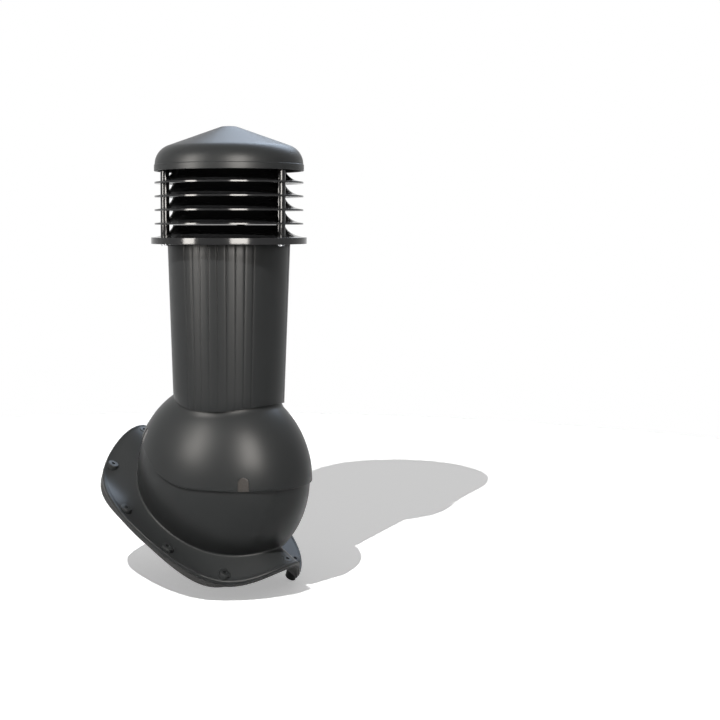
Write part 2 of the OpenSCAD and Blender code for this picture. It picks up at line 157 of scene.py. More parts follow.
def root(f, low, high):
    """Where f, which rises from low to high, crosses nought."""
    for _ in range(40):
        middle = (low + high) / 2
        if f(middle) < 0:
            low = middle
        else:
            high = middle
    return (low + high) / 2


def arc_between(p, q, t, r, a):
    """A point between p and q along an ellipsoid of radius r and half-width a."""
    size = Vector((a, r, r))
    u = Vector(p[i] / size[i] for i in range(3)).normalized()
    v = Vector(q[i] / size[i] for i in range(3)).normalized()
    turn = u.angle(v)
    w = (u * math.sin((1 - t) * turn) + v * math.sin(t * turn)) / math.sin(turn)
    return Vector(w[i] * size[i] for i in range(3))


def ball_foot(angle, r, a, drop):
    """Where the ellipsoid meets the plate's face lowered by drop, on the ray to the outline."""
    far = Vector(outline_at(0, angle))
    start = Vector((0, plate_shift))

    def outside(share):
        x, u = start.lerp(far, share)
        return (x / a) ** 2 + (u * u + (wave(x) - drop) ** 2) / (r * r) - 1

    x, u = start.lerp(far, root(outside, 0.1, 1))
    return Vector((x, u, wave(x) - drop))


def mouth_at(angle, r, a, height):
    """A point of the ellipsoid's edge in the mouth's plane."""
    edge = math.sqrt(r * r - height * height)
    s = edge * math.sin(angle)
    return Vector((
        a * edge / r * math.cos(angle),
        height * math.sin(mouth_lean) + s * math.cos(mouth_lean),
        height * math.cos(mouth_lean) - s * math.sin(mouth_lean),
    ))


def alone(piece):
    """Selects this piece and nothing else."""
    bpy.ops.object.select_all(action="DESELECT")
    piece.select_set(True)
    bpy.context.view_layer.objects.active = piece


def skin(name, rings, place):
    """Extrudes a ring of edges through the given rings of points and closes it on the first."""
    bpy.ops.object.select_all(action="DESELECT")
    bpy.ops.mesh.primitive_circle_add(vertices=len(rings[0]), radius=0.1)
    piece = bpy.context.object
    piece.name = name
    bpy.ops.object.mode_set(mode="EDIT")
    bpy.ops.mesh.select_all(action="SELECT")
    mesh = bmesh.from_edit_mesh(piece.data)
    column = mesh.verts.layers.int.new("column")
    for k, vert in enumerate(mesh.verts):
        vert[column] = k
    for row, ring in enumerate([*rings, rings[0]]):
        if row:
            bpy.ops.mesh.extrude_region_move()
            mesh = bmesh.from_edit_mesh(piece.data)
            column = mesh.verts.layers.int["column"]
        for vert in mesh.verts:
            if vert.select:
                vert.co = place(ring[vert[column]])
        bmesh.update_edit_mesh(piece.data)
    bpy.ops.mesh.select_all(action="SELECT")
    bpy.ops.mesh.remove_doubles(threshold=0.000001)
    bpy.ops.mesh.normals_make_consistent(inside=False)
    bpy.ops.object.mode_set(mode="OBJECT")
    return piece


def combine(piece, tool, operation):
    """Joins a tool to the piece, cuts it out or keeps what both share."""
    alone(piece)
    change = piece.modifiers.new("change", "BOOLEAN")
    change.operation = operation
    change.solver = "EXACT"
    change.object = tool
    bpy.ops.object.modifier_apply(modifier="change")
    bpy.data.objects.remove(tool)


def joined(parts, name):
    """Makes one object of several and puts its origin where the frame's is."""
    alone(parts[0])
    for part in parts:
        part.select_set(True)
    if len(parts) > 1:
        bpy.ops.object.join()
    bpy.ops.object.transform_apply(location=True, rotation=True, scale=True)
    bpy.context.object.name = name
    return bpy.context.object


def soften(piece, width, segments, limit=30):
    """Rounds the edges of a piece that are sharper than the limit."""
    alone(piece)
    edge = piece.modifiers.new("edge", "BEVEL")
    edge.width = width
    edge.segments = segments
    edge.angle_limit = math.radians(limit)
    bpy.ops.object.modifier_apply(modifier="edge")


def smooth(piece, angle=32):
    alone(piece)
    bpy.ops.object.shade_smooth_by_angle(angle=math.radians(angle))


def fillet(foot, up, out, steps):
    """Points of the arc between two faces that leave the foot along up and out."""
    half = up.angle(out) / 2
    centre = foot + (up + out).normalized() * fillet_r / math.sin(half)
    reach = fillet_r / math.tan(half)
    first, last = foot + up * reach - centre, foot + out * reach - centre
    turn = first.angle(last)
    points = []
    for k in range(steps + 1):
        t = k / steps
        arm = (first * math.sin((1 - t) * turn) + last * math.sin(t * turn)) / math.sin(turn)
        points.append(centre + arm)
    return points


def plate_section(angle):
    """The closed section on one ray: ball, fillet, plate, rim, underside, inside of the ball."""
    foot = ball_foot(angle, ball_r, ball_a, 0)
    mouth = mouth_at(angle, ball_r, ball_a, mouth_h)
    near = Vector((*outline_at(lip_w + rim_foot, angle), 0))
    near.z = wave(near.x)
    up = (arc_between(foot, mouth, 0.02, ball_r, ball_a) - foot).normalized()
    along = foot.xy.lerp(near.xy, 0.05)
    out = (Vector((*along, wave(along.x))) - foot).normalized()
    bend = fillet(foot, up, out, 6)
    section = [arc_between(mouth, bend[0], k / 24, ball_r, ball_a) for k in range(24)]
    section += bend
    for k in range(1, 9):
        flat = bend[-1].xy.lerp(near.xy, k / 8)
        section.append(Vector((*flat, wave(flat.x))))
    rim_in_mm = (
        (3.4, 0.2), (2.9, 0.52), (2.2, 0.6), (1.2, 0.55), (0.55, 0.25), (0.15, -0.4), (0, -1.2),
        (0, -3.9), (0.25, -4.45), (0.8, -4.6), (2.4, -4.6), (2.95, -4.4), (3.2, -3.9), (3.2, -3),
    )
    for inset, rise in rim_in_mm:
        x, u = outline_at(inset * MM, angle)
        section.append(Vector((x, u, wave(x) + rise * MM)))
    r, a = ball_r - ball_wall, ball_a - ball_wall
    inner_foot = ball_foot(angle, r, a, plate_t)
    inner_mouth = mouth_at(angle, r, a, mouth_h)
    last = section[-1]
    for k in range(1, 8):
        flat = last.xy.lerp(inner_foot.xy, k / 8)
        section.append(Vector((*flat, wave(flat.x) - plate_t)))
    section += [arc_between(inner_foot, inner_mouth, k / 14, r, a) for k in range(15)]
    return section


sections = [plate_section(2 * math.pi * k / plate_columns) for k in range(plate_columns)]
roof_plate = skin("roof_plate_shell", list(zip(*sections)), on_roof)


def boss_rise(x):
    """Height of a boss over the plate: nearly flush on the crest, full in the valleys."""
    share = (-crest_drop - wave(x)) / (valley_drop - crest_drop)
    return boss_flush + (boss_h - boss_flush) * share


def boss_parts(radius, reach=None):
    """One leaned round bar at each boss, its ends level with the roof."""
    parts = []
    for angle in boss_angles:
        x, u = outline_at(boss_inset, math.radians(angle))
        below = post_below if angle == long_boss else boss_below
        low, high = (-reach, reach) if reach else (-plate_t - below, boss_rise(x))
        bpy.ops.object.select_all(action="DESELECT")
        bpy.ops.mesh.primitive_cylinder_add(vertices=48, radius=radius, depth=high - low)
        bar = bpy.context.object
        bpy.ops.object.mode_set(mode="EDIT")
        mesh = bmesh.from_edit_mesh(bar.data)
        for vert in mesh.verts:
            rise = vert.co.z + (low + high) / 2
            across = vert.co.y / math.cos(boss_lean) + rise * math.tan(boss_lean)
            vert.co = on_roof((x + vert.co.x, u + across, wave(x) + rise))
        bmesh.update_edit_mesh(bar.data)
        bpy.ops.object.mode_set(mode="OBJECT")
        parts.append(bar)
    return joined(parts, "bosses")


def bars_across(radius, first, last, name):
    """A round bar along the tilt axis on each side, from first to last."""
    parts = []
    for side in (-1, 1):
        bpy.ops.object.select_all(action="DESELECT")
        bpy.ops.mesh.primitive_cylinder_add(
            vertices=64, radius=radius, depth=last - first,
            location=pivot + Vector((side * (first + last) / 2, 0, 0)),
            rotation=(0, math.pi / 2, 0),
        )
        parts.append(bpy.context.object)
    return joined(parts, name)


bosses = boss_parts(boss_r)
soften(bosses, boss_edge, 3)
combine(roof_plate, bosses, "UNION")
combine(roof_plate, boss_parts(screw_hole_r, through), "DIFFERENCE")
bearings = bars_across(bearing_r, bearing_x, ball_a - bearing_set_in, "bearings")
combine(roof_plate, bearings, "UNION")
bores = bars_across(pin_r, bearing_x - 1 * MM, pin_end + pin_play, "bores")
combine(roof_plate, bores, "DIFFERENCE")
smooth(roof_plate)
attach(roof_plate, "roof_base")
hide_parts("roof_plate")


def linear(colour):
    """An sRGB hex colour as the linear values that a shader takes."""
    parts = [int(colour[i:i + 2], 16) / 255 for i in (1, 3, 5)]
    return (*(p / 12.92 if p <= 0.04045 else ((p + 0.055) / 1.055) ** 2.4 for p in parts), 1)


def add(tree, kind, settings={}, **links):
    """Adds a node, sets its properties and sockets, and links what is given to its inputs."""
    made = tree.nodes.new(kind)
    for key, value in settings.items():
        if hasattr(made, key) and key not in made.inputs:
            setattr(made, key, value)
        else:
            made.inputs[key].default_value = value
    for key, source in links.items():
        tree.links.new(source, made.inputs[key.replace("_", " ")])
    return made


def surface_finish(name, colour, roughness, grain_mm, depth_mm, sheen=0.5):
    """A moulded or plated surface: an even colour, faint clouds in it and a fine grain."""
    material = bpy.data.materials.new(name)
    material.use_nodes = True
    tree = material.node_tree
    shader = tree.nodes["Principled BSDF"]
    shader.inputs["IOR"].default_value = 1.49
    shader.inputs["Specular IOR Level"].default_value = sheen
    place = add(tree, "ShaderNodeTexCoord").outputs["Object"]
    clouds = {"Scale": 1 / (60 * MM), "Detail": 3.0}
    cloud = add(tree, "ShaderNodeTexNoise", clouds, Vector=place)
    tint = add(tree, "ShaderNodeMix", {"data_type": "RGBA"})
    tint.inputs[6].default_value = linear(colour[0])
    tint.inputs[7].default_value = linear(colour[1])
    tree.links.new(cloud.outputs["Fac"], tint.inputs[0])
    tree.links.new(tint.outputs[2], shader.inputs["Base Color"])
    grains = {"Scale": 1 / (grain_mm * MM), "Detail": 2.0}
    grain = add(tree, "ShaderNodeTexNoise", grains, Vector=place)
    gloss = add(
        tree, "ShaderNodeMapRange",
        {"From Min": 0.3, "From Max": 0.7, "To Min": roughness[0], "To Max": roughness[1]},
        Value=grain.outputs["Fac"],
    )
    tree.links.new(gloss.outputs["Result"], shader.inputs["Roughness"])
    bump = add(
        tree, "ShaderNodeBump",
        {"Strength": 1.0, "Distance": depth_mm * MM},
        Height=grain.outputs["Fac"],
    )
    tree.links.new(bump.outputs["Normal"], shader.inputs["Normal"])
    return material


# Moulded polypropylene, satin from the eroded tool: soft wide highlights, no mirror image
satin_polypropylene = surface_finish(
    "satin_polypropylene", ("#2a2b2b", "#2d2e2e"), (0.36, 0.42), 0.8, 0.004, sheen=0.12
)


def dress(piece, material):
    piece.data.materials.clear()
    piece.data.materials.append(material)


dress(roof_plate, satin_polypropylene)


# Dome: a graphite polypropylene shell over the ball, moulded with the neck that the pipe
# sits on. Its rim is level in front and rises behind, and four arched windows are cut in it.
dome_r = 125 * MM
dome_a = 100 * MM
dome_wall = 2.5 * MM
rim_rise = math.radians(29.75)
rim_blend = 130 * MM
rim_run = rim_blend * math.tan(rim_rise / 2)
neck_r = 68.2 * MM
neck_wall = 2.6 * MM
neck_foot_w = 2.5 * MM
neck_top = 152 * MM
seal_z = 140 * MM
seal_h = 6 * MM
seal_depth = 1.2 * MM
skirt_bore_r = 57.9 * MM
window_front = (13.6 * MM, 17.5 * MM, 36)
window_rear = (14.7 * MM, 62 * MM, 137.3)
window_start = 60 * MM
window_depth = 80 * MM
window_below = 5 * MM
dome_columns = 192


def at_pivot(p):
    return pivot + Vector(p)


def rim_height(y):
    """Height of the dome's rim in the side view."""
    if y < -rim_run:
        return 0
    if y < rim_blend * math.sin(rim_rise) - rim_run:
        return rim_blend - math.sqrt(rim_blend ** 2 - (y + rim_run) ** 2)
    return y * math.tan(rim_rise)


def rim_at(angle, inset, lift):
    """A point of the rim on the dome shrunk by inset, raised by lift."""
    r, a = dome_r - inset, dome_a - inset
    c, s = math.cos(angle), math.sin(angle)

    def outside(share):
        y = share * r * s
        return share * share + ((rim_height(y) + lift) / r) ** 2 - 1

    share = root(outside, 0.5, 1)
    y = share * r * s
    return Vector((share * a * c, y, rim_height(y) + lift))


def over_dome(x, y, inset):
    """The point of the dome shrunk by inset that lies over (x, y)."""
    r, a = dome_r - inset, dome_a - inset
    return Vector((x, y, math.sqrt(r * r * (1 - (x / a) ** 2) - y * y)))


def neck_at(angle, radius):
    return radius * math.cos(angle), radius * math.sin(angle) - pipe_shift


def hole_at(angle):
    """The edge of the hole in the dome, where the neck's bore and the skirt's bore cross."""
    c, s = math.cos(angle), math.sin(angle)
    apart = pipe_shift + spigot_shift
    reach = s * apart + math.sqrt((s * apart) ** 2 - apart ** 2 + skirt_bore_r ** 2)
    return neck_at(angle, min(neck_r - neck_wall - 0.05 * MM, reach))


def dome_section(angle):
    """The dome's closed section on one ray, from the rim over the outside and back inside."""
    rim = [rim_at(angle, *edge) for edge in (
        (2.5 * MM, 0.5 * MM), (2.3 * MM, 0.15 * MM), (2.0 * MM, 0), (0.6 * MM, 0),
        (0.15 * MM, 0.2 * MM), (0, 0.6 * MM),
    )]
    foot = over_dome(*neck_at(angle, neck_r + neck_foot_w), 0)
    section = rim + [arc_between(rim[-1], foot, k / 36, dome_r, dome_a) for k in range(1, 37)]
    neck_foot = over_dome(*neck_at(angle, neck_r), 0)
    for radius, rise in ((neck_r + 0.8 * MM, 0.5 * MM), (neck_r, 2.4 * MM)):
        section.append(Vector((*neck_at(angle, radius), neck_foot.z + rise)))
    neck_in = neck_r - neck_wall
    for radius, height in (
        (neck_r, seal_z), (neck_r - seal_depth, seal_z), (neck_r - seal_depth, seal_z + seal_h),
        (neck_r, seal_z + seal_h), (neck_r, neck_top - 0.6 * MM), (neck_r - 0.6 * MM, neck_top),
        (neck_in + 0.4 * MM, neck_top), (neck_in, neck_top - 0.4 * MM),
    ):
        section.append(Vector((*neck_at(angle, radius), height)))
    section.append(over_dome(*neck_at(angle, neck_in), 0))
    hole = hole_at(angle)
    section.append(over_dome(*hole, 0))
    inner = over_dome(*hole, dome_wall)
    section.append(inner)
    r, a = dome_r - dome_wall, dome_a - dome_wall
    section += [arc_between(inner, rim[0], k / 16, r, a) for k in range(1, 16)]
    return section


sections = [dome_section(2 * math.pi * k / dome_columns) for k in range(dome_columns)]
dome = skin("dome_housing", list(zip(*sections)), at_pivot)


def arch(window, side, gap):
    """An arched bar from inside the dome outwards, with straight sides below a round top."""
    width, top, turn = window
    bpy.ops.object.select_all(action="DESELECT")
    bpy.ops.mesh.primitive_circle_add(vertices=48, radius=width / 2 - gap, fill_type="NGON")
    bar = bpy.context.object
    bpy.ops.object.mode_set(mode="EDIT")
    mesh = bmesh.from_edit_mesh(bar.data)
    for vert in mesh.verts:
        lowered = vert.co.y < -0.0001 * MM
        height = -window_below if lowered else top - width / 2 + vert.co.y
        vert.co = (vert.co.x, -window_start, height)
    bmesh.update_edit_mesh(bar.data)
    bpy.ops.mesh.select_all(action="SELECT")
    bpy.ops.mesh.remove_doubles(threshold=0.000001)
    bpy.ops.mesh.extrude_region_move(TRANSFORM_OT_translate={"value": (0, -window_depth, 0)})
    bpy.ops.mesh.select_all(action="SELECT")
    bpy.ops.mesh.normals_make_consistent(inside=False)
    bpy.ops.object.mode_set(mode="OBJECT")
    swing = Matrix.Rotation(math.radians(side * turn), 4, "Z")
    bar.matrix_world = Matrix.Translation(pivot) @ swing
    return bar


windows = [arch(window, side, 0) for window in (window_front, window_rear) for side in (-1, 1)]
combine(dome, joined(windows, "windows"), "DIFFERENCE")
smooth(dome)
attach(dome, "vent_head")
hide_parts("dome_shell")
dress(dome, satin_polypropylene)


# Dome skirt: a tube under the dome, moulded with it, that plugs the duct spigot. Four barbs
# on it snap into the spigot's latch windows.
spigot_r = 62.5 * MM
skirt_r = 59.9 * MM
skirt_low = -28 * MM
latch_w = 20 * MM
latch_h = 5.6 * MM
latch_z = -22.2 * MM
latch_gap = 0.3 * MM
barb_root = 58.5 * MM
moulded_edge = 0.4 * MM


def at_spigot(p):
    return pivot + Vector((0, spigot_shift, 0)) + Vector(p)


def under_dome(angle, radius):
    """A point in the middle of the dome's wall, over the spigot's circle of this radius."""
    x, y = radius * math.cos(angle), radius * math.sin(angle) + spigot_shift
    p = over_dome(x, y, dome_wall / 2)
    return Vector((p.x, p.y - spigot_shift, p.z))


def skirt_section(angle):
    section = []
    for radius, inward in ((skirt_r, -1), (skirt_bore_r, 1)):
        top = under_dome(angle, radius)
        foot = Vector((top.x, top.y, skirt_low + moulded_edge))
        toe_r = radius + inward * moulded_edge
        toe = Vector((toe_r * math.cos(angle), toe_r * math.sin(angle), skirt_low))
        side = [toe, foot] + [foot.lerp(top, k / 4) for k in (1, 2, 3, 4)]
        section += side if inward < 0 else side[::-1]
    return section


sections = [skirt_section(2 * math.pi * k / dome_columns) for k in range(dome_columns)]
skirt = skin("dome_skirt", list(zip(*sections)), at_spigot)
barbs = []
barb_l = spigot_r - latch_gap - barb_root
middle = barb_root + barb_l / 2
for turn in (45, 135, 225, 315):
    angle = math.radians(turn)
    bpy.ops.object.select_all(action="DESELECT")
    bpy.ops.mesh.primitive_cube_add(
        size=1,
        location=at_spigot((middle * math.cos(angle), middle * math.sin(angle), latch_z)),
        rotation=(0, 0, angle),
        scale=(barb_l, latch_w - 2 * latch_gap, latch_h - 2 * latch_gap),
    )
    barbs.append(bpy.context.object)
barbs = joined(barbs, "barbs")
soften(barbs, moulded_edge, 2)
bpy.ops.object.select_all(action="DESELECT")
bpy.ops.mesh.primitive_cylinder_add(
    vertices=96, radius=spigot_r - latch_gap, depth=latch_w, location=at_spigot((0, 0, latch_z))
)
combine(barbs, bpy.context.object, "INTERSECT")
combine(skirt, barbs, "UNION")
smooth(skirt)
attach(skirt, "vent_head")
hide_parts("dome_shell")
dress(skirt, satin_polypropylene)


# Lock clips: warm grey acetal clips that fill the dome's arched windows and hold it to the ball
# while it is screwed down. They lie a little under the dome's face.
clip_gap = 0.15 * MM
clip_depth = 0.6 * MM
clip_edge = 0.25 * MM


def clip_wall_section(angle):
    """The dome's wall near the rim, thinned from outside by the clips' depth."""
    foot = over_dome(*neck_at(angle, neck_r + neck_foot_w), clip_depth)
    low = rim_at(angle, clip_depth, 0.1 * MM)
    r, a = dome_r - clip_depth, dome_a - clip_depth
    outside = [arc_between(low, foot, k / 24, r, a) for k in range(24)]
    low = rim_at(angle, dome_wall, 0.1 * MM)
    r, a = dome_r - dome_wall, dome_a - dome_wall
    foot = over_dome(*neck_at(angle, neck_r + neck_foot_w), dome_wall)
    inside = [arc_between(low, foot, k / 24, r, a) for k in range(24)]
    return outside + inside[::-1]


sections = [clip_wall_section(2 * math.pi * k / dome_columns) for k in range(dome_columns)]
clip_wall = skin("clip_wall", list(zip(*sections)), at_pivot)

# Acetal clips: denser and smoother than the shells, in a warm grey
acetal = surface_finish("grey_acetal", ("#403c39", "#46423e"), (0.24, 0.3), 0.5, 0.001, sheen=0.2)
for window, place_name in ((window_front, "front"), (window_rear, "rear")):
    for side, side_name in ((-1, "left"), (1, "right")):
        clip = joined([arch(window, side, clip_gap)], f"clip_{place_name}_{side_name}")
        alone(clip_wall)
        bpy.ops.object.duplicate()
        combine(clip, bpy.context.object, "INTERSECT")
        soften(clip, clip_edge, 2, 40)
        smooth(clip)
        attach(clip, "vent_head")
        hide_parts(f"lock_clip_{place_name}_{side_name}")
        dress(clip, acetal)
bpy.data.objects.remove(clip_wall)


# Pipe: a tapered tube of the same satin plastic, pushed over the neck. Three bands of fine
# grooves run down it and fade towards the foot, which is cut to follow the dome.
pipe_low_r = 71.2 * MM
pipe_low_z = 96 * MM
pipe_top_r = 77.8 * MM
pipe_top = 299.6 * MM
pipe_wall = 2.6 * MM
pipe_lift = 4.2 * MM
groove_bands = (-60, 60, 180)
groove_count = 9
groove_step = 8.5
groove_depth = 1.2 * MM
groove_fade = 0.2
groove_low = 110 * MM


def pipe_r(z):
    return pipe_low_r + (pipe_top_r - pipe_low_r) * (z - pipe_low_z) / (pipe_top - pipe_low_z)


def at_pipe(p):
    return pivot + Vector((0, -pipe_shift, 0)) + Vector(p)


def groove_depth_at(z):
    share = (z - groove_low) / (pipe_top - groove_low)
    return groove_depth * max(0.1, groove_fade + (1 - groove_fade) * share)


def pipe_columns():
    """Angle from the front, then how far across a groove and how deep, as shares of its depth."""
    columns = []
    grooves = sorted(
        (band + (k - (groove_count - 1) / 2) * groove_step) % 360
        for band in groove_bands for k in range(groove_count)
    )
    for here, after in zip(grooves, grooves[1:] + [grooves[0] + 360]):
        for across, deep in (
            (-1.2, 0), (-1.0, 0.05), (-0.85, 0.18), (-0.16, 0.84), (-0.06, 0.92), (0.06, 0.92),
            (0.16, 0.84), (0.85, 0.18), (1.0, 0.05), (1.2, 0),
        ):
            columns.append((here, across, deep))
        plain = max(2, round((after - here) / 2.5))
        for k in range(1, plain):
            columns.append((here + (after - here) * k / plain, 0, 0))
    return columns


def pipe_point(column, z, inset):
    """A point of the pipe's outside at one column, with its groove, drawn in by inset."""
    turn, across, deep = column
    depth = groove_depth_at(z)
    r = pipe_r(z)
    angle = math.radians(turn) + across * depth / r
    r -= deep * depth + inset
    return Vector((r * math.sin(angle), -r * math.cos(angle), z))


def pipe_foot(column, inset):
    """The height at which the pipe's face meets the dome's shape, lifted off it."""
    r, a = dome_r + pipe_lift, dome_a + pipe_lift

    def above(z):
        p = pipe_point(column, z, inset)
        return (p.x / a) ** 2 + ((p.y - pipe_shift) ** 2 + z * z) / (r * r) - 1

    return root(above, 60 * MM, 160 * MM)


def pipe_section(column):
    """The closed section down one column: outside, rounded top, plain bore, rounded foot."""
    foot = pipe_foot(column, 0)
    face = pipe_top - foot - 1.2 * MM
    section = [pipe_point(column, foot + 0.7 * MM + face * k / 14, 0) for k in range(15)]
    plain = (column[0], column[1], 0)
    inner_foot = pipe_foot(plain, pipe_wall)
    section += [
        pipe_point(column, pipe_top - 0.1 * MM, 0.15 * MM),
        pipe_point(column, pipe_top, 0.5 * MM),
        pipe_point(plain, pipe_top, pipe_wall),
        pipe_point(plain, inner_foot + 0.4 * MM, pipe_wall),
        pipe_point(plain, inner_foot, pipe_wall - 0.4 * MM),
        pipe_point(column, foot + 0.1 * MM, 0.5 * MM),
        pipe_point(column, foot + 0.25 * MM, 0.15 * MM),
    ]
    return section


sections = [pipe_section(column) for column in pipe_columns()]
pipe = skin("fluted_pipe", list(zip(*sections)), at_pipe)
smooth(pipe, 40)
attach(pipe, "vent_head")
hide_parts("vent_pipe")
dress(pipe, satin_polypropylene)


# Hood base ring: a glossy ABS ring, thin-walled, whose collar plugs the pipe. Its rim is an
# upright band and it flares up to the throat, with three bosses under it for the posts.
base_rim_r = 98.8 * MM
louvre_rim_r = 94.2 * MM
throat_r = 71 * MM
flare_h = 15.6 * MM
ring_t = 2.2 * MM
base_rim_h = 8.1 * MM
louvre_pitch = 17.1 * MM
louvre_count = 4
collar_l = 26 * MM
collar_gap = 0.3 * MM
post_r = 5.6 * MM
post_gap = 0.1 * MM
post_circle_r = 84.3 * MM
post_turns = (0, 120, 240)
post_boss_wall = 2.4 * MM
thin_edge = 0.3 * MM
round_edge = 0.5 * MM
rim_top = pipe_top + base_rim_h
lathe_steps = 180


def flare_height(rim_r, r_in, z, h, r):
    """Height of a flare that runs from the rim at z up to the throat, at radius r."""
    angle = math.asin(((rim_r - r) / (rim_r - r_in)) ** 0.875)
    return z + h * (1 - math.cos(angle) ** (2 / 1.75))


def flare(rim_r, r_in, z, h, steps=16):
    """Points of a flare from its rim up to its throat."""
    points = []
    for k in range(steps + 1):
        angle = math.pi / 2 * k / steps
        r = rim_r - (rim_r - r_in) * math.sin(angle) ** (2 / 1.75)
        points.append((r, z + h * (1 - math.cos(angle) ** (2 / 1.75))))
    return points


def softened(outline, corners):
    """Rounds the given corners of an outline: {index: radius}."""
    points = []
    for k, corner in enumerate(outline):
        p = Vector(corner)
        if k not in corners:
            points.append(p)
            continue
        before = (Vector(outline[k - 1]) - p).normalized() * corners[k]
        after = (Vector(outline[(k + 1) % len(outline)]) - p).normalized() * corners[k]
        for t in (0, 0.25, 0.5, 0.75, 1):
            points.append(p + before * (1 - t) ** 2 + after * t * t)
    return points


def turned(name, outline):
    """Draws a closed outline of (radius, height) beside the pipe's axis and spins it round."""
    bpy.ops.object.select_all(action="DESELECT")
    bpy.ops.mesh.primitive_circle_add(vertices=len(outline), radius=0.1)
    piece = bpy.context.object
    piece.name = name
    bpy.ops.object.mode_set(mode="EDIT")
    mesh = bmesh.from_edit_mesh(piece.data)
    for vert, (r, z) in zip(mesh.verts, outline):
        vert.co = at_pipe((r, 0, z))
    bmesh.update_edit_mesh(piece.data)
    bpy.ops.mesh.select_all(action="SELECT")
    middle = at_pipe((0, 0, 0))
    bpy.ops.mesh.spin(steps=lathe_steps, angle=2 * math.pi, center=middle, axis=(0, 0, 1))
    bpy.ops.mesh.select_all(action="SELECT")
    bpy.ops.mesh.remove_doubles(threshold=0.000005)
    bpy.ops.mesh.normals_make_consistent(inside=False)
    bpy.ops.object.mode_set(mode="OBJECT")
    return piece


def post_bars(radius, low, high):
    """Three upright round bars on the posts' circle."""
    bars = []
    for turn in post_turns:
        angle = math.radians(turn)
        spot = (post_circle_r * math.sin(angle), -post_circle_r * math.cos(angle), (low + high) / 2)
        bpy.ops.object.select_all(action="DESELECT")
        bpy.ops.mesh.primitive_cylinder_add(
            vertices=48, radius=radius, depth=high - low, location=at_pipe(spot)
        )
        bars.append(bpy.context.object)
    return bars


def post_holes(piece, low, high):
    bars = joined(post_bars(post_r + post_gap, low, high), "holes")
    combine(piece, bars, "DIFFERENCE")


collar_r = pipe_r(pipe_top) - pipe_wall - collar_gap
collar_low_z = pipe_top - collar_l
collar_low_r = pipe_r(collar_low_z) - pipe_wall - collar_gap
collar_in = collar_r - ring_t
shoulder_r = pipe_top_r + 1.5 * MM
under_flare = (base_rim_r - ring_t, throat_r - ring_t, rim_top - ring_t, flare_h + ring_t)
under = flare(*under_flare)
outline = [(base_rim_r, pipe_top), (base_rim_r, rim_top)]
outline += flare(base_rim_r, throat_r, rim_top, flare_h)[1:]
outline += [p for p in reversed(under) if p[0] < collar_in - 0.5 * MM]
outline += [
    (collar_in, flare_height(*under_flare, collar_in)),
    (collar_in, pipe_top),
    (collar_low_r - ring_t, collar_low_z),
    (collar_low_r, collar_low_z),
    (collar_r, pipe_top),
    (shoulder_r, pipe_top),
    (shoulder_r, pipe_top + ring_t),
    (collar_r, pipe_top + ring_t),
    (collar_r, flare_height(*under_flare, collar_r)),
]
outline += [p for p in reversed(under) if p[0] > collar_r + 0.5 * MM]
outline += [(base_rim_r - ring_t, pipe_top)]
corners = {0: round_edge, 1: round_edge, len(outline) - 1: moulded_edge}
base_ring = turned("base_ring", softened(outline, corners))
core_r = collar_in + 0.2 * MM
core = [(core_r, pipe_top), (base_rim_r - 1 * MM, pipe_top)]
core += flare(base_rim_r - 1 * MM, throat_r - 1 * MM, rim_top - 1 * MM, flare_h)
core += [(core_r, rim_top + flare_h - 1 * MM)]
bars = post_bars(post_r + post_boss_wall, pipe_top - 1 * MM, pipe_top + through)
post_bosses = joined(bars, "bosses")
combine(post_bosses, turned("core", core), "INTERSECT")
combine(base_ring, post_bosses, "UNION")
holes_low = pipe_top - 20 * MM
holes_top = rim_top + louvre_pitch * louvre_count + through
post_holes(base_ring, holes_low, holes_top)
smooth(base_ring)

# Polished ABS: the mould's polished face gives small mirror-like highlights
polished_abs = surface_finish(
    "polished_abs", ("#1c1c1c", "#1f1f20"), (0.12, 0.16), 1.5, 0.001, sheen=0.25
)
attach(base_ring, "vent_head")
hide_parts("hood_base_ring")
dress(base_ring, polished_abs)


# Louvre rings: four thin glossy ABS rings, stacked on the posts a pitch apart. Each flares
# from a thin level rim up to the throat, so that rain runs off while air gets out.
lowest_ring = rim_top + louvre_pitch - ring_t / 2
outline = flare(louvre_rim_r, throat_r, lowest_ring + ring_t, flare_h)
outline += reversed(flare(louvre_rim_r, throat_r - ring_t, lowest_ring, flare_h + ring_t))
corners = {0: thin_edge, len(outline) - 1: thin_edge, 16: round_edge, 17: round_edge}
ring = turned(f"louvre_{louvre_count}", softened(outline, corners))
post_holes(ring, holes_low, holes_top)
smooth(ring)
rings = [ring]
for number in range(louvre_count - 1, 0, -1):
    alone(rings[-1])
    bpy.ops.object.duplicate()
    bpy.ops.transform.translate(value=(0, 0, louvre_pitch))
    bpy.ops.object.transform_apply(location=True, rotation=True, scale=True)
    bpy.context.object.name = f"louvre_{number}"
    rings.append(bpy.context.object)
for number, ring in zip(range(louvre_count, 0, -1), rings):
    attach(ring, "vent_head")
    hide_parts(f"louvre_ring_{number}")
    dress(ring, polished_abs)


# Hood posts: three glossy ABS posts that stand in the base ring's bosses, pass through the
# louvre rings and end in the cap's sockets. A screw goes up into each from below.
cap_low = rim_top + louvre_pitch * (louvre_count + 1) - ring_t - 0.3 * MM
post_low = pipe_top - 0.5 * MM
post_in_cap = 15.5 * MM
post_top = cap_low + post_in_cap
for number, post in enumerate(post_bars(post_r, post_low, post_top), start=1):
    post = joined([post], f"post_{number}")
    soften(post, round_edge, 3)
    smooth(post)
    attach(post, "vent_head")
    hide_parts(f"hood_post_{number}")
    dress(post, polished_abs)


# Rain cap: a satin cone with a rounded shoulder, a level band at its foot that stands a
# little proud, and three sockets inside that sit on the posts.
cap_r = 94.6 * MM
cap_slope = math.radians(19.5)
cap_shoulder = 25 * MM
cap_wall_h = 8.2 * MM
cap_t = 2.5 * MM
cap_tip_r = 8.8 * MM
band_step = 0.8 * MM
socket_r = 8 * MM
socket_rise = 4 * MM


